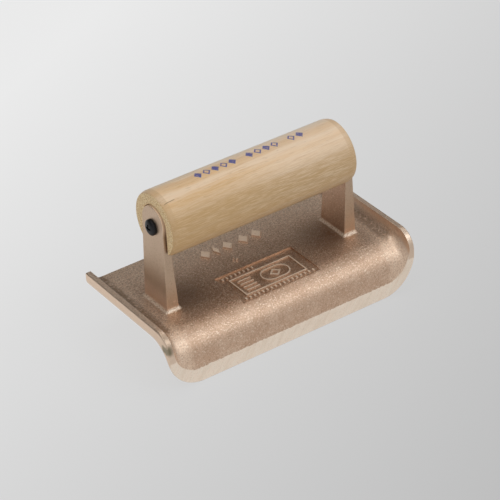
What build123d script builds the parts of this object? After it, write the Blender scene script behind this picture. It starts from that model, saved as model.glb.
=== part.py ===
from build123d import *
import os
from math import cos, pi, radians, sin, tan

# Hand concrete edger: one bronze casting (plate, bent lip, upturned ends and two posts),
# a turned wood handle let in between the posts, and a screw through each post.
# Millimetres. X runs along the handle, -Y is the side of the bent lip, +Z is up.
# The flat working face lies on z = 0 and the handle axis is above y = 0.

# Casting
LENGTH = 152.4             # overall, along X
WIDTH = 76.2               # overall, along Y
GROUND_FACE_Y = -37.8      # the ground flat on the front of the lip
SHEET = 3.0                # wall thickness
LIP_DEPTH = 23.85          # from the working face down to the lip's lower edge
WORKING_RADIUS = 12.7      # the radius that the tool gives to the edge of a slab
CAST_STEP = 0.8            # the cast front of the lip lies this far behind the ground flat
FLANGE_RISE = 8.8          # height of the upturned ends above the working face
FLANGE_NOSE = 10.5         # radius where the top of an upturned end turns down to the lip
SOLE_EDGE_RADIUS = 5.0     # working face into the upturned ends and the lip's edge
POCKET_EDGE_RADIUS = 6.0   # the same turn on the cast side
SOLE_CORNER_RADIUS = 20.0  # lower corners of the lip
POCKET_CORNER_RADIUS = 14.0
BAND_HEIGHT = 7.8          # height of the ground flat along the lower edge of the lip
RIM_ROUND = 0.6            # ground edge of the upturned ends and the lip
BACK_EDGE_ROUND = 0.5      # along the back edge of the plate

# Posts
AXIS_Z = 49.3              # handle axis above the working face
POST_BASE_OUT_X = 58.8     # outer face at the plate
POST_LEAN = 1.25           # degrees, the outer face leans in towards the handle
POST_BASE_THICKNESS = 7.5
POST_INNER_X = 53.3        # inner face where it backs the handle
POST_BASE_WIDTH = 21.0
POST_TOP_WIDTH = 18.4
POST_TOP_Z = 60.3
POST_TOP_Y = -0.8          # the round top is set a little to the front of the handle axis
POST_FILLET = 2.0          # the flare where a post grows out of the plate
POST_EDGE_BREAK = 0.35

# Handle
HANDLE_DIAMETER = 34.8
HANDLE_LENGTH = 112.6
END_ROUND_LENGTH = 3.6     # the sides turn in over this length at each end
END_ROUND_DROP = 0.9
END_EDGE = 1.0
NOTCH_RADIUS = 10.4        # round-topped notch in each end that takes the post
NOTCH_CENTRE_Y = -0.7
NOTCH_CENTRE_Z = 50.1

# Screws
SCREW_Y = -0.55            # the screws sit a little to the front of the handle axis
SCREW_Z = 48.9
HEAD_DIAMETER = 8.6
HEAD_HEIGHT = 2.7
HEAD_RIM = 1.0
SHANK_DIAMETER = 4.2
POST_HOLE_DIAMETER = 4.8
SCREW_GRIP = 19.0          # length of the shank below the head
POINT_LENGTH = 3.0
RECESS_SPAN = 4.4
RECESS_SLOT = 1.1
RECESS_DEPTH = 1.6
RECESS_DRAFT = 12.0

# Sunk panel and raised marks on the cast top
PANEL_LEFT = -23.6
PANEL_RIGHT = 24.3
PANEL_BACK = -0.4
PANEL_DEPTH = 0.85
RELIEF = 0.7
RELIEF_DRAFT = 15.0
RIB = 1.0
FRAME_WIDTH = 38.0
FRAME_DEPTH = 16.6
FRAME_Y = -13.9
OVAL_WIDTH = 17.0
OVAL_DEPTH = 11.0
OVAL_X = 4.5
LOZENGE = 5.0
BAR_X = -12.0
BAR_LENGTH = 8.4
BAR_ROWS = 4
BAR_PITCH = 2.9
PIP_WIDTH = 1.3
PIP_DEPTH = 1.9
PIP_PITCH = 2.6
PIP_START = 3.2
FRONT_PIPS = 17
FRONT_PIP_Y = -24.2
BACK_PIPS = 8
BACK_PIP_Y = -3.1
MARK_HEIGHT = 0.9
MARK_DRAFT = 18.0          # each mark of the row is a plain lozenge with sloping sides
MARK_LENGTH = 8.8
MARK_WIDTHS = (6.2, 3.6, 6.2, 6.2, 6.2)
MARK_ROW_Y = 20.4
MARK_ROW_X = (-14.9, -8.3, -1.1, 8.8, 17.0)
CLUSTER_X = -5.3
CLUSTER_Y = 7.3
CLUSTER_RADIUS = 1.3
CLUSTER_PIP = 0.55
CLUSTER_PIPS = 4

TOP = SHEET
BACK_Y = GROUND_FACE_Y + WIDTH
HALF_LENGTH = LENGTH / 2
SOLE_LIP_Y = GROUND_FACE_Y + CAST_STEP + SHEET
BEND_Y = SOLE_LIP_Y + WORKING_RADIUS
HANDLE_RADIUS = HANDLE_DIAMETER / 2
RUN_OUT = 30.0             # the cutting solids run past the outline by this much
EPS = 1e-3
EDGE_SAMPLES = (0.1, 0.5, 0.9)  # points along an edge that decide which outline it is on


def skin_solid(lift, half_length, bottom, corner_radius, edge_radius):
    """Everything on the cast side of a surface that lies `lift` outside the working
    face: flat over the plate, round the bend and down the lip, with its rim turned up."""
    front = GROUND_FACE_Y - RUN_OUT
    back = BACK_Y + RUN_OUT
    ceiling = FLANGE_RISE + RUN_OUT
    lip_y = SOLE_LIP_Y - lift
    bend_radius = WORKING_RADIUS + lift
    start = (BEND_Y, lift)
    middle = (BEND_Y - bend_radius * sin(pi / 4), -WORKING_RADIUS + bend_radius * cos(pi / 4))
    end = (lip_y, -WORKING_RADIUS)
    with BuildSketch(Plane.YZ) as section:
        with BuildLine():
            Line((back, lift), start)
            ThreePointArc(start, middle, end)
            Polyline(end, (lip_y, bottom), (front, bottom), (front, ceiling), (back, ceiling),
                     (back, lift))
        make_face()
    block = extrude(section.sketch, amount=half_length, both=True)

    def is_lower_corner(edge):
        return abs(abs(edge.center().X) - half_length) < EPS and abs(edge.center().Z - bottom) < EPS

    block = fillet(block.edges().filter_by(Axis.Y).filter_by(is_lower_corner), corner_radius)

    def on_surface(point):
        if point.Y >= BEND_Y - EPS:
            return abs(point.Z - lift) < EPS
        if point.Z <= -WORKING_RADIUS + EPS:
            return abs(point.Y - lip_y) < EPS
        reach = ((point.Y - BEND_Y) ** 2 + (point.Z + WORKING_RADIUS) ** 2) ** 0.5
        return abs(reach - bend_radius) < EPS

    def is_rim(edge):
        inside = abs(edge.center().X) < half_length / 2 and edge.center().Z > bottom + EPS
        return not inside and all(on_surface(edge.position_at(t)) for t in EDGE_SAMPLES)

    return fillet(block.edges().filter_by(is_rim), edge_radius)


def envelope():
    """Side outline of the plate: square at the back, rounded at the top of the front."""
    with BuildSketch(Plane.YZ) as section:
        with BuildLine():
            Polyline((GROUND_FACE_Y, FLANGE_RISE - FLANGE_NOSE), (GROUND_FACE_Y, -LIP_DEPTH),
                     (BACK_Y, -LIP_DEPTH), (BACK_Y, FLANGE_RISE),
                     (GROUND_FACE_Y + FLANGE_NOSE, FLANGE_RISE))
            RadiusArc((GROUND_FACE_Y + FLANGE_NOSE, FLANGE_RISE),
                      (GROUND_FACE_Y, FLANGE_RISE - FLANGE_NOSE), -FLANGE_NOSE)
        make_face()
    return extrude(section.sketch, amount=HALF_LENGTH, both=True)


def is_outer_rim(edge):
    """Edges along the outside of the upturned ends, their noses and the ground flat."""
    nose_y = GROUND_FACE_Y + FLANGE_NOSE
    nose_z = FLANGE_RISE - FLANGE_NOSE

    def on_outline(point):
        if point.Y > nose_y:
            return abs(point.Z - FLANGE_RISE) < EPS
        if point.Z < nose_z:
            return abs(point.Y - GROUND_FACE_Y) < EPS
        reach = ((point.Y - nose_y) ** 2 + (point.Z - nose_z) ** 2) ** 0.5
        return abs(reach - FLANGE_NOSE) < EPS

    across = abs(edge.center().X) < EPS and edge.center().Z > EPS - LIP_DEPTH
    return not across and all(on_outline(edge.position_at(t)) for t in EDGE_SAMPLES)


def plate():
    """Plate, bend, lip and upturned ends, open at the back."""
    ground_cut = (SOLE_EDGE_RADIUS ** 2 - (SOLE_EDGE_RADIUS - SHEET - CAST_STEP) ** 2) ** 0.5
    sole_bottom = -LIP_DEPTH - (SOLE_EDGE_RADIUS - ground_cut)
    step_cut = (POCKET_EDGE_RADIUS ** 2 - (POCKET_EDGE_RADIUS - CAST_STEP) ** 2) ** 0.5
    pocket_bottom = BAND_HEIGHT - LIP_DEPTH - (POCKET_EDGE_RADIUS - step_cut)
    block = envelope() & skin_solid(0.0, HALF_LENGTH, sole_bottom, SOLE_CORNER_RADIUS,
                                    SOLE_EDGE_RADIUS)
    block = block.fillet(RIM_ROUND, block.edges().filter_by(is_outer_rim))
    shell = block - skin_solid(SHEET, HALF_LENGTH - SHEET, pocket_bottom, POCKET_CORNER_RADIUS,
                               POCKET_EDGE_RADIUS)
    long_back = shell.edges().filter_by(Axis.X).filter_by(
        lambda edge: abs(edge.center().Y - BACK_Y) < EPS)
    return shell.fillet(BACK_EDGE_ROUND, long_back)


def post():
    """The right-hand post: a tapered, round-topped upright with its screw hole."""
    lean = tan(radians(POST_LEAN))
    base_in = POST_BASE_OUT_X - POST_BASE_THICKNESS
    step_z = AXIS_Z - HANDLE_RADIUS
    with BuildSketch(Plane.XZ) as side:
        Polygon((POST_BASE_OUT_X, 0), (POST_BASE_OUT_X - lean * POST_TOP_Z, POST_TOP_Z),
                (POST_INNER_X, POST_TOP_Z), (POST_INNER_X, step_z), (base_in, 0), align=None)
    flank = extrude(side.sketch, amount=POST_BASE_WIDTH, both=True)
    top_radius = POST_TOP_WIDTH / 2
    arch_z = POST_TOP_Z - top_radius
    half_base = POST_BASE_WIDTH / 2
    with BuildSketch(Plane.YZ) as front:
        with BuildLine():
            Polyline((POST_TOP_Y - top_radius, arch_z), (-half_base, 0), (half_base, 0),
                     (POST_TOP_Y + top_radius, arch_z))
            ThreePointArc((POST_TOP_Y + top_radius, arch_z), (POST_TOP_Y, POST_TOP_Z),
                          (POST_TOP_Y - top_radius, arch_z))
        make_face()
    upright = flank & extrude(front.sketch, amount=LENGTH)
    long_edges = upright.edges().filter_by(
        lambda edge: edge.center().Z > TOP and abs(edge.center().Y) > EPS
        or edge.center().Z > AXIS_Z)
    upright = fillet(long_edges, POST_EDGE_BREAK)
    hole = Cylinder(POST_HOLE_DIAMETER / 2, RUN_OUT, rotation=(0, 90, 0))
    return upright - on_outer_face(hole, 1)


def on_outer_face(shape, side):
    """Move a screw feature, built along +X, to its post, square to the outer face."""
    lean = tan(radians(POST_LEAN))
    place = Pos(POST_BASE_OUT_X - lean * SCREW_Z, SCREW_Y, SCREW_Z) * Rot(0, -POST_LEAN, 0)
    moved = place * shape
    return moved if side > 0 else mirror(moved, about=Plane.YZ)


def shank():
    """Plain shank with a cone point, running inwards from the head."""
    radius = SHANK_DIAMETER / 2
    with BuildSketch(Plane.XY) as half:
        Polygon((0, 0), (0, radius), (POINT_LENGTH - SCREW_GRIP, radius), (-SCREW_GRIP, 0), align=None)
    return revolve(half.sketch, axis=Axis.X)


def screw():
    """Pan head screw with a cross recess, built along X with its seat at the origin."""
    radius = HEAD_DIAMETER / 2
    with BuildSketch(Plane.XY) as half:
        with BuildLine():
            Polyline((HEAD_HEIGHT, 0), (0, 0), (0, radius), (HEAD_RIM, radius))
            EllipticalCenterArc((HEAD_RIM, 0), HEAD_HEIGHT - HEAD_RIM, radius, arc_size=90)
        make_face()
    head = revolve(half.sketch, axis=Axis.X)
    cross = Rectangle(RECESS_SPAN, RECESS_SLOT) + Rectangle(RECESS_SLOT, RECESS_SPAN)
    mouth = Plane.YZ.offset(HEAD_HEIGHT) * cross
    recess = extrude(mouth, amount=-RECESS_DEPTH, taper=RECESS_DRAFT)
    return head - recess + shank()


def handle():
    """Turned wood grip, sides turning in at the ends, with a notch for each post."""
    half = HANDLE_LENGTH / 2
    end_radius = HANDLE_RADIUS - END_ROUND_DROP
    bulge_x = half - END_ROUND_LENGTH / 2
    bulge_radius = HANDLE_RADIUS - END_ROUND_DROP / 4
    with BuildSketch(Plane.XY) as outline:
        with BuildLine():
            Polyline((0, HANDLE_RADIUS), (0, 0), (half, 0), (half, end_radius))
            ThreePointArc((half, end_radius), (bulge_x, bulge_radius),
                          (half - END_ROUND_LENGTH, HANDLE_RADIUS))
            Line((half - END_ROUND_LENGTH, HANDLE_RADIUS), (0, HANDLE_RADIUS))
        make_face()
    right = revolve(outline.sketch, axis=Axis.X)
    right = fillet(right.edges().filter_by(
        lambda edge: abs(edge.center().X - half) < EPS), END_EDGE)
    right = Pos(0, 0, AXIS_Z) * right
    notch_shape = Pos(NOTCH_CENTRE_Y, NOTCH_CENTRE_Z) * Circle(NOTCH_RADIUS) + Pos(
        NOTCH_CENTRE_Y, NOTCH_CENTRE_Z / 2) * Rectangle(2 * NOTCH_RADIUS, NOTCH_CENTRE_Z)
    notch = extrude(Plane.YZ.offset(POST_INNER_X) * notch_shape, amount=RUN_OUT)
    right = right - notch - on_outer_face(shank(), 1)
    return right + mirror(right, about=Plane.YZ)


def raised(sketch, base_z, height, draft=RELIEF_DRAFT):
    """A raised cast mark with drafted sides."""
    return Pos(0, 0, base_z) * extrude(sketch, amount=height, taper=draft)


def panel_recess():
    """The sunk panel: flat floored, running out of the bend at its front."""
    width = PANEL_RIGHT - PANEL_LEFT
    depth = PANEL_BACK - GROUND_FACE_Y
    middle = Pos(PANEL_LEFT + width / 2, PANEL_BACK - depth / 2, TOP - PANEL_DEPTH)
    return middle * extrude(Rectangle(width, depth), amount=RUN_OUT)


def panel_marks():
    """Generic decoration on the panel floor: a framed oval, short bars and rows of pips."""
    centre = Pos((PANEL_LEFT + PANEL_RIGHT) / 2, FRAME_Y)
    frame = Rectangle(FRAME_WIDTH, FRAME_DEPTH) - Rectangle(FRAME_WIDTH - 2 * RIB,
                                                            FRAME_DEPTH - 2 * RIB)
    oval = SlotOverall(OVAL_WIDTH, OVAL_DEPTH) - SlotOverall(OVAL_WIDTH - 2 * RIB,
                                                             OVAL_DEPTH - 2 * RIB)
    lozenge = Rectangle(LOZENGE, LOZENGE, rotation=45) - Rectangle(LOZENGE / 2, LOZENGE / 2,
                                                                   rotation=45)
    sketches = [centre * frame, centre * Pos(OVAL_X) * oval, centre * Pos(OVAL_X) * lozenge]
    for row in range(BAR_ROWS):
        bar_y = (row - (BAR_ROWS - 1) / 2) * BAR_PITCH
        sketches.append(centre * Pos(BAR_X, bar_y) * SlotOverall(BAR_LENGTH, RIB))
    for index in range(FRONT_PIPS):
        sketches.append(Pos(PANEL_LEFT + PIP_START + index * PIP_PITCH, FRONT_PIP_Y)
                        * RectangleRounded(PIP_WIDTH, PIP_DEPTH, PIP_WIDTH / 3))
    for index in range(BACK_PIPS):
        sketches.append(Pos(PANEL_LEFT + PIP_START + index * PIP_PITCH, BACK_PIP_Y)
                        * RectangleRounded(PIP_WIDTH, PIP_DEPTH, PIP_WIDTH / 3))
    return [raised(sketch, TOP - PANEL_DEPTH, RELIEF) for sketch in sketches]


def row_marks():
    """A row of plain raised lozenges behind the panel, and a small cluster of pips."""
    marks = []
    for x, width in zip(MARK_ROW_X, MARK_WIDTHS):
        lozenge = Polygon((width / 2, 0), (0, MARK_LENGTH / 2), (-width / 2, 0),
                          (0, -MARK_LENGTH / 2))
        marks.append(raised(Pos(x, MARK_ROW_Y) * lozenge, TOP, MARK_HEIGHT, MARK_DRAFT))
    for index in range(CLUSTER_PIPS):
        angle = 2 * pi * index / CLUSTER_PIPS
        pip = Pos(CLUSTER_X + CLUSTER_RADIUS * cos(angle),
                  CLUSTER_Y + CLUSTER_RADIUS * sin(angle)) * Circle(CLUSTER_PIP)
        marks.append(raised(pip, TOP, MARK_HEIGHT))
    return marks


def is_post_root(edge):
    """Edges where a post meets the top of the plate."""
    middle = edge.center()
    base_in = POST_BASE_OUT_X - POST_BASE_THICKNESS
    near_post = base_in - EPS < abs(middle.X) < POST_BASE_OUT_X + EPS
    near_post = near_post and abs(middle.Y) < POST_BASE_WIDTH / 2 + EPS
    return near_post and all(abs(edge.position_at(t).Z - TOP) < EPS for t in EDGE_SAMPLES)


def casting():
    """The whole bronze casting as one solid."""
    body = plate() + post() + mirror(post(), about=Plane.YZ)
    body = body.fillet(POST_FILLET, body.edges().filter_by(is_post_root))
    body = body - panel_recess()
    return body + panel_marks() + row_marks()


def save(shape, name):
    shape.label = name
    export_step(shape, f"parts/{name}.step")
    print(name, "solids", len(shape.solids()), "valid", shape.is_valid,
          "volume", round(shape.volume))


if __name__ == "__main__":
    os.makedirs("parts", exist_ok=True)
    save(casting(), "edger_casting")
    save(handle(), "wood_handle")
    save(on_outer_face(screw(), 1), "handle_screw_right")
    save(on_outer_face(screw(), -1), "handle_screw_left")
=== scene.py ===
import math
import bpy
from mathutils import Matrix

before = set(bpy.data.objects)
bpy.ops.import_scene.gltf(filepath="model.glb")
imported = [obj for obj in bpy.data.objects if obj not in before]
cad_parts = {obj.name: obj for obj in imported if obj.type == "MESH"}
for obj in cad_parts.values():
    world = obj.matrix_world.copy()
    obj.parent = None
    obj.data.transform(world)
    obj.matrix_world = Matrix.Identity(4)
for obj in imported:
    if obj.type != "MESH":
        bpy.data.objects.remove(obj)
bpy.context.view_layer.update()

from types import SimpleNamespace

import bpy
from mathutils import Matrix, Vector


def colour(red, green, blue):
    """A linear colour with its alpha."""
    return (red, green, blue, 1.0)


# The camera, where the photograph was taken from, in the row frame (metres)
CAMERA_AT = Vector((-0.57572, -0.87356, 0.70407))
CAMERA_FORWARD = Vector((0.45838, 0.69628, -0.55234)).normalized()
CAMERA_UP = Vector((0.3481, 0.4312, 0.8324))
CAMERA_LENS = 176.9
SENSOR_WIDTH = 36.0

# The floor, which is lit mostly from itself so that it takes only a faint shadow
FLOOR_Z = -0.0239
FLOOR_HALF = 6.0
FLOOR_MIDDLE = 0.66
FLOOR_RIGHT_FALL = 0.735   # how much darker it gets for each metre to the camera's right
FLOOR_FAR_RISE = 0.405     # how much lighter for each metre away from the camera
FLOOR_DARKEST = 0.47
FLOOR_LIGHTEST = 0.86
FLOOR_GLOW = 0.90
FLOOR_PAINT = colour(0.09, 0.09, 0.09)

# The room: pale low down, and above that pale behind the camera and dark on the far side
ROOM_WALL = 0.48
ROOM_WALL_TOP = (0.03, 0.13)
ROOM_DARK = 0.07
ROOM_PALE = 0.55
ROOM_DARK_Y = 0.25
ROOM_PALE_Y = -0.45

# The object's own measures that the finishes follow, in millimetres in the row frame
MM_PER_METRE = 1000.0
GROUND_FLAT_Y = -37.8      # ground flat on the front of the lip
END_FACE_X = 76.2          # outer faces of the upturned ends
PLATE_TOP_Z = 3.0
PANEL_FLOOR_Z = 2.15
AXIS_Z = 49.3
HANDLE_RADIUS = 17.4
HANDLE_TOP_Z = AXIS_Z + HANDLE_RADIUS
HANDLE_END_X = 56.3

# Soft limits of the casting's finishes, each as (where it is absent, where it is full)
GROUND_Y = (GROUND_FLAT_Y + 0.40, GROUND_FLAT_Y + 0.25)
END_X = (END_FACE_X - 0.65, END_FACE_X - 0.35)
NOSE_BOTTOM_Z = (-6.5, -5.0)
NOSE_IN_X = (71.5, 72.8)
NOSE_OUT_X = (75.9, 75.6)
NOSE_BACK_Y = (-29.0, -31.5)
STAIN_X = (-73.5, -75.0)
STAIN_BOTTOM_Z = (-1.5, 0.5)
STAIN_TOP_Z = (4.5, 2.5)
STAIN_Y = (-31.0, -33.0)
# Painted shade on the top of the left nose
LEFT_NOSE_SHADE_Z = (-2.0, 1.5)
SOLE_TOP_Z = (6.0, 4.0)
SOLE_BACK_TOP_Z = (3.6, 3.2)
POST_IN_X = (49.0, 50.0)
POST_OUT_X = (62.0, 61.0)
POST_BOTTOM_Z = (4.5, 5.2)
SANDED_SIDE_Z = (7.0, 16.0)
SANDED_FRONT_Z = (4.5, 9.0)
# Painted light on the rims around the post tops
ARCH_Z = (46.0, 52.0)
# Painted highlight on the flared feet of the posts
FOOT_IN_X = (48.8, 49.6)
FOOT_OUT_X = (61.3, 60.4)
FOOT_Y = (13.2, 12.2)
FOOT_BOTTOM_Z = (3.02, 3.3)
FOOT_TOP_Z = (5.4, 4.3)
# Painted light low on the outer faces of the posts
LOW_POST_OUT_X = (59.5, 59.0)
LOW_POST_BOTTOM_Z = (4.4, 5.2)
LOW_POST_TOP_Z = (17.0, 8.0)
FLANGE_IN_X = (70.0, 71.0)
FLANGE_OUT_X = (75.6, 75.3)
FLANGE_TOP_Z = (7.2, 8.2)
# Painted sheen on the upper inner faces of the upturned ends
SLOPE_Z = (5.0, 6.5)
# Painted shade in the hollow fillets beside the upturned ends
GROOVE_IN_X = (64.5, 67.5)
GROOVE_OUT_X = (71.6, 70.2)
GROOVE_FRONT_Y = (-28.0, -22.0)
GROOVE_TOP_Z = (5.5, 4.5)
# Painted shade on the plate under the handle, between the posts
SHADE_UNDER_HANDLE_IN_X = (22.0, 44.0)
SHADE_UNDER_HANDLE_OUT_X = (53.0, 50.0)
SHADE_UNDER_HANDLE_Y = (20.0, 5.0)
SHADE_UNDER_HANDLE_CENTRE_Y = -2.0
SHADE_UNDER_HANDLE_TOP_Z = (3.6, 3.1)
# Painted light: the plate is painted lighter towards the back and outside the posts, where nothing
# stands over it
OPEN_BACK_Y = (8.0, 32.0)
OPEN_END_X = (59.0, 64.0)
MARK_X = (25.0, 24.0)
MARK_BOTTOM_Z = (PLATE_TOP_Z + 0.5, PLATE_TOP_Z + 0.8)
MARK_TOP_Z = (6.0, 5.0)
PANEL_X = (24.2, 23.4)
PANEL_BACK_Y = (-1.6, -2.0)
PANEL_FRONT_Y = (-26.5, -25.8)
PANEL_BOTTOM_Z = (PANEL_FLOOR_Z + 0.35, PANEL_FLOOR_Z + 0.6)
PANEL_TOP_Z = (2.96, 2.9)
RIGHT_HALF_X = (-5.0, 5.0)

# The casting's colours
CAST_DEEP = colour(0.66, 0.445, 0.310)
CAST_PALE = colour(0.74, 0.525, 0.380)
# The next colour is painted light, laid on the plate where nothing stands over it
CAST_PAINTED_LIGHT = colour(0.98, 0.76, 0.58)
CAST_PIT = colour(0.37, 0.23, 0.155)
CAST_SHADE = colour(0.46, 0.29, 0.19)
MOTTLE_DEEP = colour(0.42, 0.27, 0.18)
MOTTLE_PALE = colour(0.98, 0.76, 0.59)
# Pale specks of the grain, partly painted glints
SPARKLE = colour(1.0, 0.85, 0.69)
SANDED_DEEP = colour(0.56, 0.41, 0.29)
SANDED_PALE = colour(0.68, 0.51, 0.37)
SANDED_SPECK = colour(0.36, 0.25, 0.17)
SANDED_LINE = colour(0.50, 0.36, 0.26)
GROUND_DEEP = colour(0.98, 0.79, 0.63)
GROUND_PALE = colour(1.0, 0.88, 0.74)
GROUND_PATCH = colour(0.80, 0.64, 0.48)
GROUND_SPECK = colour(0.70, 0.55, 0.42)
END_FACE_TAN = colour(0.84, 0.63, 0.47)
# The next colour is a painted highlight, on the flared feet of the posts
FOOT_PAINTED_HIGHLIGHT = colour(1.0, 0.84, 0.67)
# The next colour is painted light, on the rims around the post tops
ARCH_PAINTED_LIGHT = colour(1.0, 0.78, 0.59)
FLANGE_TOP_TAN = colour(0.55, 0.39, 0.28)
# The next colour is painted shade, in the fillets beside the upturned ends
GROOVE_PAINTED_SHADE = colour(0.36, 0.23, 0.155)
# The next colour is a painted sheen, on the upper inner faces of the upturned ends
SLOPE_PAINTED_SHEEN = colour(0.96, 0.75, 0.58)
# The next colour is painted shade, under the handle between the posts
PAINTED_SHADE_UNDER_HANDLE = colour(0.34, 0.23, 0.16)
# The next colour is painted light, low on the outer faces of the posts
LOW_POST_PAINTED_LIGHT = colour(1.0, 0.83, 0.70)
NOSE_TAN = colour(0.80, 0.62, 0.48)
# The next colour is painted shade, on the top of the left nose
NOSE_PAINTED_SHADE = colour(0.44, 0.32, 0.23)
NOSE_SPECK = colour(0.86, 0.68, 0.53)
# The next colour is partly real rubbing and partly a painted highlight, on the tops of the raised
# marks
RAISED_RUBBED_AND_LIT = colour(1.0, 0.80, 0.61)
STAIN_OLIVE = colour(0.24, 0.21, 0.13)
EDGE_BRIGHT = colour(1.0, 0.84, 0.68)
METALLIC = 0.93
METALLIC_RUBBED_AND_LIT = 0.42     # where the metal is rubbed or ground, and where glints and light are painted in
METALLIC_RAISED = 0.12     # on the tops of the raised marks

# The casting's patterns
GRIND_SLANT = math.radians(52.0)
GRIND_STRETCH = (0.16, 1.0, 3.2)
PATCH_STRETCH = (0.07, 0.4, 0.35)
GLINT_SHIFT = (37.0, 11.0, 5.0)
MOTTLE_SHIFT = (5.0, 23.0, 41.0)

# Soft limits of the wood's tones, each as (where it is absent, where it is full)
# Painted light along the top of the handle
CROWN_Y = (0.0, 11.0)
CROWN_Z = (AXIS_Z + 6.0, AXIS_Z + 13.0)
# Painted shade along the underside of the handle
LOWER_Z = (HANDLE_TOP_Z, AXIS_Z + 7.0)
GOLDEN_X = (25.0, -35.0)
GOLDEN_Z = (HANDLE_TOP_Z, AXIS_Z + 14.0)
PALE_X = (-25.0, 35.0)
PALE_Z = (AXIS_Z + 2.0, AXIS_Z + 14.0)
TURNED_END_X = (HANDLE_END_X - 4.0, HANDLE_END_X - 3.4)
END_GRAIN_X = (HANDLE_END_X - 0.35, HANDLE_END_X - 0.1)

# The handle's colours
WOOD_PALE = colour(1.0, 0.75, 0.52)
WOOD_TAN = colour(0.92, 0.61, 0.33)
# The next colour is painted light, along the top of the handle
WOOD_STREAK = colour(0.76, 0.46, 0.21)
WOOD_CROWN_PAINTED_LIGHT = colour(1.0, 0.86, 0.70)
# The next colour is painted shade, along the underside of the handle
WOOD_LOWER_PAINTED_SHADE = colour(0.50, 0.31, 0.13)
WOOD_FIBRE = colour(0.98, 0.78, 0.55)
WOOD_FLECK = colour(0.52, 0.30, 0.13)
WOOD_GOLDEN = colour(0.66, 0.40, 0.16)
WOOD_RIGHT = colour(1.0, 0.80, 0.62)
WOOD_TURNED_END = colour(0.62, 0.40, 0.20)
END_GRAIN_DEEP = colour(0.76, 0.50, 0.23)
END_GRAIN_PALE = colour(1.0, 0.79, 0.48)
END_GRAIN_PORE = colour(0.42, 0.24, 0.10)
INK = colour(0.045, 0.085, 0.38)
CRACK_BROWN = colour(0.24, 0.13, 0.06)
SMUDGE_GREY = colour(0.62, 0.62, 0.66)
SMUDGE_AT = (-50.5, -7.0, 63.8)
SMUDGE_RADIUS = (1.6, 0.4)

# The print on top of the handle: plain hollow and solid diamonds in three groups
PRINT_START = -31.0
PRINT_PITCH = 5.15
PRINT_CELLS = 13
PRINT_GAPS = (5, 10)
PRINT_Y = 0.9
PRINT_HALF_WIDTH = 2.2
PRINT_HALF_HEIGHT = 2.9
PRINT_OUTLINE = (1.03, 0.97)   # of the half sizes, where a diamond ends and where it is full
PRINT_HOLE = (0.60, 0.55)
PRINT_Z = (AXIS_Z + 8.0, AXIS_Z + 9.0)

# The crack near the handle's left end
CRACK_LEFT_X = -54.6
CRACK_LEFT_Y = -8.3
CRACK_SLOPE = 0.067
CRACK_WOBBLE = 0.25
CRACK_HALF_WIDTH = (0.15, 0.04)
CRACK_START_X = (CRACK_LEFT_X - 0.6, CRACK_LEFT_X + 0.2)
CRACK_STOP_X = (CRACK_LEFT_X + 6.8, CRACK_LEFT_X + 5.6)
CRACK_Z = (AXIS_Z, AXIS_Z + 2.0)

# The screws' colours
OXIDE_DEEP = colour(0.012, 0.012, 0.013)
OXIDE_PALE = colour(0.032, 0.032, 0.035)
OXIDE_WORN = colour(0.15, 0.15, 0.16)


def add_camera():
    data = bpy.data.cameras.new("camera")
    data.sensor_width = SENSOR_WIDTH
    data.lens = CAMERA_LENS
    data.clip_start = 0.01
    data.clip_end = 40.0
    camera = bpy.data.objects.new("camera", data)
    bpy.context.scene.collection.objects.link(camera)
    back = -CAMERA_FORWARD
    right = CAMERA_UP.cross(back).normalized()
    up = back.cross(right)
    turn = Matrix((right, up, back)).transposed()
    camera.matrix_world = Matrix.Translation(CAMERA_AT) @ turn.to_4x4()
    bpy.context.scene.camera = camera


def add_softbox(name, direction, distance, size, radiance, tint):
    """A rectangular area light that faces the object, given by the brightness of its face."""
    data = bpy.data.lights.new(name, "AREA")
    data.shape = "RECTANGLE"
    data.size, data.size_y = size
    data.energy = radiance * math.pi * size[0] * size[1]
    data.color = tint
    lamp = bpy.data.objects.new(name, data)
    lamp.location = Vector(direction).normalized() * distance
    lamp.rotation_euler = lamp.location.to_track_quat("Z", "Y").to_euler()
    bpy.context.scene.collection.objects.link(lamp)


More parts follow.
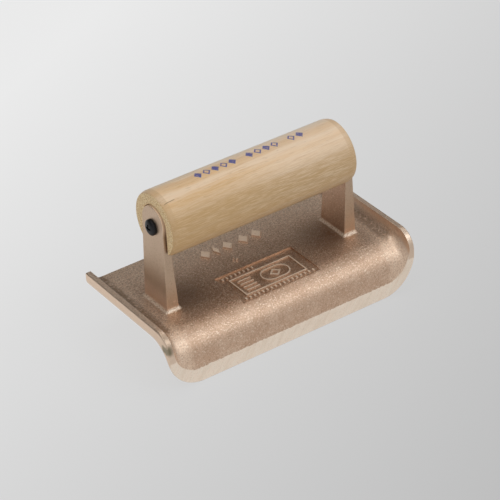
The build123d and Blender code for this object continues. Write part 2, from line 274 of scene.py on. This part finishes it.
class Graph:
    """A short way to build the nodes of one material or world."""

    def __init__(self, owner):
        owner.use_nodes = True
        self.tree = owner.node_tree
        self.found = {}

    def put(self, socket, value):
        if isinstance(value, bpy.types.NodeSocket):
            self.tree.links.new(value, socket)
        elif value is not None:
            socket.default_value = value

    def add(self, kind, *values, named=None, **settings):
        node = self.tree.nodes.new("ShaderNode" + kind)
        for key, value in settings.items():
            setattr(node, key, value)
        for index, value in enumerate(values):
            self.put(node.inputs[index], value)
        for key, value in (named or {}).items():
            self.put(node.inputs[key], value)
        return node

    def math(self, operation, *values):
        return self.add("Math", *values, operation=operation).outputs[0]

    def vector(self, operation, *values):
        return self.add("VectorMath", *values, operation=operation).outputs[0]

    def distance(self, place, centre):
        return self.add("VectorMath", place, centre, operation="DISTANCE").outputs["Value"]

    def point(self):
        """The place on the object, in millimetres in the row frame."""
        if "point" not in self.found:
            place = self.add("TexCoord").outputs["Object"]
            scale = (MM_PER_METRE,) * 3
            self.found["point"] = self.vector("MULTIPLY", place, scale)
        return self.found["point"]

    def moved(self, shift):
        """The same place shifted, so that a noise there differs from the others."""
        return self.vector("ADD", self.point(), shift)

    def stretched(self, x, y, z):
        return self.vector("MULTIPLY", self.point(), (x, y, z))

    def axes(self, vector):
        return self.add("SeparateXYZ", vector).outputs

    def facing(self):
        """The x, y and z of the surface's own direction."""
        if "facing" not in self.found:
            self.found["facing"] = self.axes(self.add("NewGeometry").outputs["Normal"])
        return self.found["facing"]

    def noise(self, vector, scale, detail=2.0, roughness=0.5, distortion=0.0):
        named = {"Vector": vector, "Scale": scale, "Detail": detail, "Roughness": roughness,
                 "Distortion": distortion}
        return self.add("TexNoise", named=named).outputs[0]

    def cells(self, vector, scale):
        named = {"Vector": vector, "Scale": scale}
        return self.add("TexVoronoi", named=named, feature="F1").outputs[0]

    def ramp(self, value, start, end):
        """0 at start and 1 at end, smooth between them; start may be the larger."""
        node = self.add("MapRange", value, start, end, 0.0, 1.0, interpolation_type="SMOOTHSTEP")
        return node.outputs[0]

    def span(self, value, low, high):
        """A value from 0 to 1 spread from low to high."""
        return self.add("MapRange", value, 0.0, 1.0, low, high).outputs[0]

    def size(self, value):
        """The value without its sign."""
        return self.math("ABSOLUTE", value)

    def other(self, mask):
        """1 where the mask is 0."""
        return self.math("SUBTRACT", 1.0, mask)

    def mix(self, factor, first, second):
        """A colour between two colours."""
        node = self.tree.nodes.new("ShaderNodeMix")
        node.data_type = "RGBA"
        self.put(node.inputs[0], factor)
        self.put(node.inputs[6], first)
        self.put(node.inputs[7], second)
        return node.outputs[2]

    def blend(self, factor, first, second):
        """A number between two numbers."""
        return self.add("Mix", factor, None, first, second).outputs[0]

    def both(self, *masks):
        result = masks[0]
        for mask in masks[1:]:
            result = self.math("MULTIPLY", result, mask)
        return result

    def either(self, *masks):
        result = masks[0]
        for mask in masks[1:]:
            result = self.math("MAXIMUM", result, mask)
        return result

    def painted(self, base, *coats):
        """The base under some coats, each as (mask, strength, colour)."""
        for mask, strength, pigment in coats:
            base = self.mix(self.both(mask, strength), base, pigment)
        return base

    def edge(self, radius_mm, low=0.02, high=0.25):
        """1 along sharp outer and inner edges."""
        bevel = self.add("Bevel", radius_mm / MM_PER_METRE, samples=4).outputs[0]
        normal = self.add("NewGeometry").outputs["Normal"]
        dot = self.add("VectorMath", bevel, normal, operation="DOT_PRODUCT").outputs["Value"]
        return self.ramp(self.other(dot), low, high)

    def bump(self, height, distance_mm, strength, under=None):
        named = {"Height": height, "Distance": distance_mm / MM_PER_METRE, "Strength": strength,
                 "Normal": under}
        return self.add("Bump", named=named).outputs[0]


def new_material(name):
    material = bpy.data.materials.new(name)
    graph = Graph(material)
    return material, graph, graph.tree.nodes["Principled BSDF"]


def casting_place(g):
    """Where a point of the casting is and which way it faces, with two noises that fray
    the limits of its finishes."""
    x, y, z = g.axes(g.point())
    face_x, face_y, face_z = g.facing()
    return SimpleNamespace(
        x=x, y=y, z=z, size_x=g.size(x), face_x=face_x, face_y=face_y, face_z=face_z,
        ragged=g.noise(g.point(), 0.55, 4.0, 0.65), speckled=g.noise(g.point(), 1.4, 2.0, 0.6))


def find_machined(g, at):
    """The ground flat, the outer end faces, the polished sole and the smooth noses."""
    fray = g.math("ADD", g.span(at.ragged, -0.25, 0.25), g.span(at.speckled, -0.2, 0.2))
    at.nose_limit = g.math("ADD", at.z, g.span(at.ragged, -1.5, 1.5))
    above_band = g.both(g.ramp(at.nose_limit, *NOSE_BOTTOM_Z), g.ramp(at.size_x, *NOSE_IN_X))
    at.ground = g.both(g.ramp(g.math("ADD", at.y, fray), *GROUND_Y), g.other(above_band))
    at.nose = g.both(above_band, g.ramp(at.y, *NOSE_BACK_Y), g.ramp(at.size_x, *NOSE_OUT_X))
    at.end_face = g.ramp(g.math("ADD", at.size_x, g.math("MULTIPLY", fray, 0.8)), *END_X)
    sole_down = g.both(g.ramp(at.face_z, -0.1, -0.3), g.ramp(at.z, *SOLE_TOP_Z))
    sole_back = g.both(g.ramp(at.face_y, 0.3, 0.5), g.ramp(at.z, *SOLE_BACK_TOP_Z))
    at.sole = g.either(sole_down, sole_back)
    at.machined = g.either(at.ground, at.end_face, at.sole)


def find_posts(g, at):
    """The sanded faces of the posts, with masks for the painted highlight on their feet, the painted
    light on their top rims and the painted light low on their outer faces.
    """
    limit = g.math("ADD", at.z, g.math("ADD", g.span(at.ragged, -7.0, 7.0),
                                       g.span(at.speckled, -7.0, 7.0)))
    outward = g.both(at.face_x, g.math("SIGN", at.x))
    inside = g.ramp(at.size_x, *POST_IN_X)
    on_post = g.both(g.ramp(at.size_x, *POST_OUT_X), inside, g.ramp(at.z, *POST_BOTTOM_Z))
    side = g.both(g.ramp(limit, *SANDED_SIDE_Z), g.ramp(outward, -0.4, 0.2))
    front = g.both(g.ramp(g.size(at.face_y), 0.6, 0.8), g.ramp(limit, *SANDED_FRONT_Z))
    at.post = g.both(g.either(side, front), on_post)
    # Painted light on the rims around the post tops
    at.arch = g.both(on_post, g.ramp(at.z, *ARCH_Z), g.ramp(g.size(at.face_x), 0.8, 0.5))
    # Painted highlight on the flared feet of the posts
    at.foot = g.both(g.ramp(at.size_x, *FOOT_OUT_X), g.ramp(at.size_x, *FOOT_IN_X),
                     g.ramp(at.z, *FOOT_BOTTOM_Z), g.ramp(at.z, *FOOT_TOP_Z),
                     g.ramp(g.size(at.y), *FOOT_Y))
    # Painted light low on the outer faces of the posts
    at.low_post = g.both(g.ramp(at.size_x, *LOW_POST_OUT_X), inside,
                         g.ramp(at.z, *LOW_POST_BOTTOM_Z), g.ramp(at.z, *LOW_POST_TOP_Z),
                         g.ramp(outward, 0.2, 0.8))


def find_plate(g, at):
    """Parts of the cast top: raised marks, upturned ends, grooves and stain, with masks for the
    painted light on the open plate, the painted shade under the handle and in the grooves, and the
    painted sheen on the upturned ends' inner slopes.
    """
    mark = g.both(g.ramp(at.z, *MARK_BOTTOM_Z), g.ramp(at.size_x, *MARK_X),
                  g.ramp(at.z, *MARK_TOP_Z))
    panel = g.both(g.ramp(at.z, *PANEL_BOTTOM_Z), g.ramp(at.size_x, *PANEL_X),
                   g.ramp(at.y, *PANEL_BACK_Y), g.ramp(at.y, *PANEL_FRONT_Y),
                   g.ramp(at.z, *PANEL_TOP_Z))
    at.raised = g.either(mark, panel)
    at.level = g.ramp(at.face_z, 0.90, 0.97)
    at.right_half = g.ramp(at.x, *RIGHT_HALF_X)
    # Painted light: lighter towards the back and outside the posts, where nothing stands over the
    # plate
    at.open_plate = g.either(g.both(g.ramp(at.y, *OPEN_BACK_Y), 0.65),
                             g.both(g.ramp(at.size_x, *OPEN_END_X), 0.6))
    flange = g.ramp(at.size_x, *FLANGE_IN_X)
    at.flange_top = g.both(g.ramp(at.z, *FLANGE_TOP_Z), flange, g.ramp(at.face_z, 0.5, 0.8))
    # Painted sheen on the upper inner faces of the upturned ends
    at.slope = g.both(g.ramp(at.z, *SLOPE_Z), flange, g.ramp(at.size_x, *FLANGE_OUT_X))
    # Painted shade in the fillets beside the upturned ends, broken up by noise
    at.groove = g.both(g.ramp(at.size_x, *GROOVE_IN_X), g.ramp(at.size_x, *GROOVE_OUT_X),
                       g.ramp(at.y, *GROOVE_FRONT_Y), g.ramp(at.ragged, 0.30, 0.55),
                       g.ramp(at.z, *GROOVE_TOP_Z))
    # Painted shade under the handle, between the posts
    off_centre = g.size(g.math("SUBTRACT", at.y, SHADE_UNDER_HANDLE_CENTRE_Y))
    at.grime = g.both(g.ramp(at.size_x, *SHADE_UNDER_HANDLE_IN_X), g.ramp(at.size_x, *SHADE_UNDER_HANDLE_OUT_X),
                      g.ramp(at.z, *SHADE_UNDER_HANDLE_TOP_Z), g.ramp(off_centre, *SHADE_UNDER_HANDLE_Y))
    at.stain = g.both(g.ramp(at.x, *STAIN_X), g.ramp(at.nose_limit, *STAIN_BOTTOM_Z),
                      g.ramp(at.nose_limit, *STAIN_TOP_Z), g.ramp(at.y, *STAIN_Y))


def cast_skin(g, at):
    """Sand-cast bronze: blotched, pitted and mottled, with pale specks that are partly painted
    glints, and painted light where nothing stands over the plate.
    """
    skin = g.mix(g.ramp(at.blotch, 0.35, 0.68), CAST_DEEP, CAST_PALE)
    # Painted light where nothing stands over the plate
    skin = g.mix(at.open_plate, skin, CAST_PAINTED_LIGHT)
    pit = g.ramp(at.glint, 0.43, 0.33)
    mottle = g.noise(g.moved(MOTTLE_SHIFT), 0.75, 2.0, 0.6)
    mottled = g.span(at.level, 0.08, 0.34)
    return g.painted(
        skin,
        (pit, g.span(at.level, 0.45, 0.65), CAST_PIT),
        (g.ramp(at.grain, 0.50, 0.34), 0.65, CAST_SHADE),
        (g.ramp(mottle, 0.50, 0.36), mottled, MOTTLE_DEEP),
        (g.ramp(mottle, 0.54, 0.66), mottled, MOTTLE_PALE),
        # Pale specks, partly painted glints
        (at.sparkle, 0.8, SPARKLE))


def sanded_metal(g, at):
    """The posts where they were sanded: fine upright lines and a few dark specks."""
    return g.painted(
        g.mix(at.blotch, SANDED_DEEP, SANDED_PALE),
        (g.ramp(at.speckled, 0.46, 0.34), 0.35, SANDED_SPECK),
        (at.lines, 0.3, SANDED_LINE))


def ground_metal(g, at):
    """Bright ground metal with slanting lines, a little more tan on the outer end faces."""
    patch = g.noise(g.vector("MULTIPLY", at.slant, PATCH_STRETCH), 1.0, 2.0)
    return g.painted(
        g.mix(g.ramp(at.grind, 0.30, 0.70), GROUND_DEEP, GROUND_PALE),
        (g.ramp(patch, 0.55, 0.35), 0.25, GROUND_PATCH),
        (g.ramp(at.grain, 0.48, 0.34), 0.45, GROUND_SPECK),
        (at.end_face, g.span(at.lines, 0.6, 1.0), END_FACE_TAN))


def nose_metal(g, at):
    """The smooth noses, with painted shade darkening the top of the left one."""
    left_nose_shade = g.both(g.other(at.right_half), g.ramp(at.z, *LEFT_NOSE_SHADE_Z))
    return g.painted(g.mix(left_nose_shade, NOSE_TAN, NOSE_PAINTED_SHADE), (at.speckled, 0.4, NOSE_SPECK))


def bronze_colour(g, at):
    """The finishes one over another, each where it lies."""
    base = g.painted(
        g.mix(at.post, cast_skin(g, at), sanded_metal(g, at)),
        # Painted highlight on the post feet
        (g.both(at.foot, g.ramp(at.speckled, 0.40, 0.50)), 0.8, FOOT_PAINTED_HIGHLIGHT),
        # Painted light on the post top rims
        (at.arch, 0.8, ARCH_PAINTED_LIGHT),
        (at.flange_top, g.span(at.right_half, 0.1, 0.3), FLANGE_TOP_TAN),
        # Painted shade in the fillets beside the upturned ends
        (at.groove, 0.75, GROOVE_PAINTED_SHADE),
        # Painted sheen on the upper inner faces of the upturned ends
        (at.slope, 0.45, SLOPE_PAINTED_SHEEN),
        # Painted shade under the handle
        (at.grime, 0.65, PAINTED_SHADE_UNDER_HANDLE),
        # Painted light low on the outer faces of the posts
        (at.low_post, 0.6, LOW_POST_PAINTED_LIGHT))
    base = g.mix(at.nose, base, nose_metal(g, at))
    # Tops of the raised marks: partly rubbed bright, partly a painted highlight
    rubbed_and_lit_top = g.both(at.raised, g.ramp(at.speckled, 0.28, 0.42))
    base = g.painted(base, (rubbed_and_lit_top, 0.92, RAISED_RUBBED_AND_LIT))
    base = g.mix(at.machined, base, ground_metal(g, at))
    worn_edge = g.both(g.edge(0.6), g.ramp(at.ragged, 0.35, 0.60))
    return g.painted(base, (at.stain, 0.8, STAIN_OLIVE), (worn_edge, 0.6, EDGE_BRIGHT))


def bronze_metallic(g, at):
    # Less metallic where the metal is rubbed or ground, and where light is painted in: the glint
    # specks, the post feet and rims, and the tops of the marks
    rubbed_and_lit = g.either(g.both(at.sparkle, at.cast), at.foot, at.arch, at.ground, at.raised)
    return g.blend(at.raised, g.span(rubbed_and_lit, METALLIC, METALLIC_RUBBED_AND_LIT), METALLIC_RAISED)


def bronze_roughness(g, at):
    rough = g.span(at.grain, 0.36, 0.54)
    rough = g.blend(g.both(at.sparkle, 0.7), rough, 0.25)
    rough = g.blend(g.both(at.raised, 0.8), rough, 0.44)
    rough = g.blend(at.post, rough, g.span(at.lines, 0.36, 0.48))
    rough = g.blend(at.machined, rough, g.span(at.grind, 0.34, 0.50))
    rough = g.blend(at.nose, rough, g.span(at.speckled, 0.36, 0.46))
    return g.blend(at.sole, rough, 0.24)


def bronze_bump(g, at):
    """Sand grain on the cast skin, and lines where the metal was ground or sanded."""
    lumps = g.noise(g.point(), 1.5, 3.0, 0.8)
    sand = g.math("ADD", lumps, g.math("MULTIPLY", at.glint, 0.9))
    depth = g.both(g.blend(at.raised, 1.0, 2.2), g.span(at.level, 0.75, 1.5))
    surface = g.bump(g.both(sand, at.cast, depth), 0.21, 0.75)
    surface = g.bump(g.both(at.lines, at.post), 0.10, 0.5, surface)
    return g.bump(g.both(at.grind, at.machined), 0.08, 0.6, surface)


def bronze():
    """Cast bronze, bare and speckled, ground and polished where the tool is finished."""
    material, g, shader = new_material("cast_bronze")
    at = casting_place(g)
    find_machined(g, at)
    find_posts(g, at)
    find_plate(g, at)
    at.cast = g.other(g.either(at.machined, at.post, at.nose))

    # The patterns that more than one finish uses
    at.blotch = g.noise(g.point(), 0.10, 4.0, 0.6)
    at.grain = g.noise(g.point(), 1.7, 3.0, 0.75)
    at.glint = g.noise(g.moved(GLINT_SHIFT), 1.4, 2.0, 0.6)
    # Pale specks of the grain, partly painted glints, fainter on upright faces
    at.sparkle = g.both(g.ramp(at.glint, 0.57, 0.66), g.span(g.ramp(at.face_z, 0.2, 0.8), 0.5, 1.0))
    at.lines = g.noise(g.stretched(2.2, 2.2, 0.35), 1.0, 3.0, 0.6)
    at.slant = g.add("Mapping", g.point(), None, (0.0, GRIND_SLANT, 0.0)).outputs[0]
    at.grind = g.noise(g.vector("MULTIPLY", at.slant, GRIND_STRETCH), 1.0, 4.0, 0.65)

    g.put(shader.inputs["Base Color"], bronze_colour(g, at))
    g.put(shader.inputs["Metallic"], bronze_metallic(g, at))
    g.put(shader.inputs["Roughness"], bronze_roughness(g, at))
    g.put(shader.inputs["Normal"], bronze_bump(g, at))
    return material


def long_grain(g, at):
    """Growth rings, streaks, fibres and flecks that run along the handle, with painted light along
    its top and painted shade along its underside.
    """
    sway = g.span(g.noise(g.stretched(0.03, 0.05, 0.05), 1.0, 2.0), -3.0, 3.0)
    ring_place = g.math("ADD", g.math("ADD", g.math("MULTIPLY", at.y, 0.55),
                                      g.math("MULTIPLY", at.z, 0.83)), sway)
    wavy = g.add("CombineXYZ", g.math("MULTIPLY", at.x, 0.012), ring_place, 0.0).outputs[0]
    rings = g.noise(wavy, 0.30, 3.0, 0.55)
    streaks = g.noise(g.stretched(0.035, 1.1, 1.1), 1.0, 3.0, 0.65, 0.2)
    flecks = g.ramp(g.noise(g.stretched(0.20, 1.9, 1.9), 1.0, 1.0), 0.62, 0.72)
    # Painted light along the top of the handle
    lit_crown = g.both(g.ramp(at.y, *CROWN_Y), g.ramp(at.z, *CROWN_Z))
    golden_end = g.both(g.ramp(at.x, *GOLDEN_X), g.ramp(at.z, *GOLDEN_Z))
    pale_end = g.both(g.ramp(at.x, *PALE_X), g.ramp(at.z, *PALE_Z))
    return g.painted(
        g.mix(g.ramp(rings, 0.38, 0.62), WOOD_TAN, WOOD_PALE),
        (g.ramp(streaks, 0.50, 0.32), 0.6, WOOD_STREAK),
        # Painted light along the top
        (lit_crown, 0.7, WOOD_CROWN_PAINTED_LIGHT),
        # Painted shade along the underside
        (g.ramp(at.z, *LOWER_Z), 0.78, WOOD_LOWER_PAINTED_SHADE),
        (g.ramp(at.fibres, 0.45, 0.60), 0.34, WOOD_FIBRE),
        (flecks, 0.30, WOOD_FLECK),
        (golden_end, 0.30, WOOD_GOLDEN),
        (pale_end, 0.35, WOOD_RIGHT),
        (g.ramp(at.size_x, *TURNED_END_X), 0.35, WOOD_TURNED_END))


def end_grain(g, at):
    """Bare end grain, speckled and porous."""
    speckle = g.ramp(g.noise(g.point(), 1.3, 3.0, 0.7), 0.40, 0.58)
    bare = g.mix(speckle, END_GRAIN_DEEP, END_GRAIN_PALE)
    return g.painted(bare, (at.pores, 0.65, END_GRAIN_PORE))


def printed_row(g, at):
    """Ink mask: one small diamond in each cell of a row along the top of the handle."""
    place = g.math("DIVIDE", g.math("SUBTRACT", at.x, PRINT_START), PRINT_PITCH)
    cell = g.math("FLOOR", place)
    along = g.math("MULTIPLY", g.math("SUBTRACT", g.math("FRACT", place), 0.5), PRINT_PITCH)
    across = g.math("SUBTRACT", at.y, PRINT_Y)
    spread = g.math("ADD", g.math("DIVIDE", g.size(along), PRINT_HALF_WIDTH),
                    g.math("DIVIDE", g.size(across), PRINT_HALF_HEIGHT))
    filled = g.ramp(spread, *PRINT_OUTLINE)
    hole = g.ramp(spread, *PRINT_HOLE)
    odd = g.math("GREATER_THAN", g.math("MODULO", cell, 2.0), 0.5)
    shape = g.math("SUBTRACT", filled, g.both(hole, odd))
    shown = g.both(g.math("GREATER_THAN", place, 0.0), g.math("LESS_THAN", place, PRINT_CELLS),
                   g.ramp(at.z, *PRINT_Z))
    for gap in PRINT_GAPS:
        beside = g.math("GREATER_THAN", g.size(g.math("SUBTRACT", cell, float(gap))), 0.5)
        shown = g.both(shown, beside)
    worn = g.ramp(g.noise(g.stretched(0.6, 1.6, 1.6), 1.0, 3.0, 0.7), 0.25, 0.55)
    return g.both(shape, shown, g.span(worn, 0.35, 0.9))


def surface_crack(g, at):
    """A short hairline crack that follows the grain near the left end."""
    wobble = g.span(g.noise(g.stretched(0.6, 0.0, 0.0), 1.0, 2.0), -CRACK_WOBBLE, CRACK_WOBBLE)
    tilt = g.math("MULTIPLY", g.math("SUBTRACT", at.x, CRACK_LEFT_X), -CRACK_SLOPE)
    line = g.math("ADD", g.math("SUBTRACT", at.y, CRACK_LEFT_Y), g.math("ADD", wobble, tilt))
    thin = g.ramp(g.size(line), *CRACK_HALF_WIDTH)
    return g.both(thin, g.ramp(at.x, *CRACK_START_X), g.ramp(at.x, *CRACK_STOP_X),
                  g.ramp(at.z, *CRACK_Z))


def wood():
    """Pale close-grained hardwood under a thin clear coat, with a blue printed pattern."""
    material, g, shader = new_material("handle_wood")
    x, y, z = g.axes(g.point())
    at = SimpleNamespace(x=x, y=y, z=z, size_x=g.size(x))
    at.fibres = g.noise(g.stretched(0.16, 3.2, 3.2), 1.0, 2.0, 0.5)
    at.pores = g.ramp(g.cells(g.stretched(0.2, 1.0, 1.0), 1.5), 0.34, 0.14)
    end = g.either(g.ramp(at.size_x, *END_GRAIN_X), g.ramp(g.size(g.facing()[0]), 0.8, 0.95))
    crack = surface_crack(g, at)
    smudge = g.ramp(g.distance(g.point(), SMUDGE_AT), *SMUDGE_RADIUS)
    base = g.mix(end, long_grain(g, at), end_grain(g, at))
    base = g.mix(printed_row(g, at), base, INK)
    base = g.painted(base, (crack, 0.75, CRACK_BROWN), (smudge, 0.35, SMUDGE_GREY))
    g.put(shader.inputs["Base Color"], base)

    g.put(shader.inputs["Roughness"], g.blend(end, g.span(at.fibres, 0.48, 0.62), 0.8))
    shader.inputs["Specular IOR Level"].default_value = 0.35
    shader.inputs["Coat Weight"].default_value = 0.25
    shader.inputs["Coat Roughness"].default_value = 0.45

    surface = g.bump(at.fibres, 0.06, 0.30)
    surface = g.bump(g.math("MULTIPLY", crack, -1.0), 0.4, 0.8, surface)
    surface = g.bump(g.both(g.math("MULTIPLY", at.pores, -1.0), end), 0.25, 0.6, surface)
    g.put(shader.inputs["Normal"], surface)
    return material


def black_screw():
    """Black oxide steel, worn a little brighter on its edges."""
    material, g, shader = new_material("black_oxide")
    grain = g.noise(g.point(), 2.2, 3.0, 0.6)
    worn_edge = g.both(g.edge(0.25), g.ramp(g.noise(g.point(), 0.9, 2.0), 0.35, 0.6))
    base = g.painted(g.mix(grain, OXIDE_DEEP, OXIDE_PALE), (worn_edge, 0.5, OXIDE_WORN))
    g.put(shader.inputs["Base Color"], base)
    g.put(shader.inputs["Roughness"], g.span(grain, 0.30, 0.48))
    shader.inputs["Metallic"].default_value = 0.7
    g.put(shader.inputs["Normal"], g.bump(grain, 0.05, 0.3))
    return material


def floor_material():
    """A plain pale floor that is lighter on the far left."""
    material, g, shader = new_material("floor")
    place = g.axes(g.add("TexCoord").outputs["Object"])
    flat_right = Vector((CAMERA_FORWARD.y, -CAMERA_FORWARD.x)).normalized()
    flat_far = Vector((CAMERA_FORWARD.x, CAMERA_FORWARD.y)).normalized()
    slope = flat_far * FLOOR_FAR_RISE - flat_right * FLOOR_RIGHT_FALL
    rise = g.math("ADD", g.math("MULTIPLY", place[0], slope.x), g.math("MULTIPLY", place[1], slope.y))
    level = g.math("MAXIMUM", g.math("ADD", rise, FLOOR_MIDDLE), FLOOR_DARKEST)
    level = g.math("MINIMUM", level, FLOOR_LIGHTEST)
    g.put(shader.inputs["Emission Color"], g.add("CombineColor", level, level, level).outputs[0])
    shader.inputs["Emission Strength"].default_value = FLOOR_GLOW
    shader.inputs["Base Color"].default_value = FLOOR_PAINT
    shader.inputs["Roughness"].default_value = 0.9
    shader.inputs["Specular IOR Level"].default_value = 0.0
    return material


def add_floor():
    corners = [(-1, -1), (1, -1), (1, 1), (-1, 1)]
    mesh = bpy.data.meshes.new("floor")
    mesh.from_pydata([(sx * FLOOR_HALF, sy * FLOOR_HALF, FLOOR_Z) for sx, sy in corners], [],
                     [(0, 1, 2, 3)])
    floor = bpy.data.objects.new("floor", mesh)
    floor.data.materials.append(floor_material())
    bpy.context.scene.collection.objects.link(floor)


def add_room():
    """Pale walls low down all round. Above them the side behind the camera is pale, and the
    far side dark, so that the plate has something dark to mirror."""
    world = bpy.data.worlds.new("world")
    g = Graph(world)
    way = g.axes(g.add("TexCoord").outputs["Generated"])
    upper = g.span(g.ramp(way[1], ROOM_DARK_Y, ROOM_PALE_Y), ROOM_DARK, ROOM_PALE)
    level = g.blend(g.ramp(way[2], *ROOM_WALL_TOP), ROOM_WALL, upper)
    background = g.tree.nodes["Background"]
    g.put(background.inputs["Color"], g.add("CombineColor", level, level, level).outputs[0])
    bpy.context.scene.world = world


def dress(node, material):
    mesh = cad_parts[node].data
    mesh.materials.clear()
    mesh.materials.append(material)


add_camera()
dress("edger_casting", bronze())
dress("wood_handle", wood())
screw_finish = black_screw()
for side_name in ("left", "right"):
    dress(f"handle_screw_{side_name}", screw_finish)
add_floor()
add_room()
add_softbox("key", direction=(0.36, -0.60, 0.72), distance=1.5, size=(1.1, 0.5),
            radiance=2.4, tint=(0.95, 1.0, 1.05))
add_softbox("overhead", direction=(0.0, 0.16, 1.0), distance=1.1, size=(1.3, 0.6),
            radiance=1.45, tint=(1.0, 1.0, 1.0))
bpy.context.scene.view_settings.view_transform = "Standard"
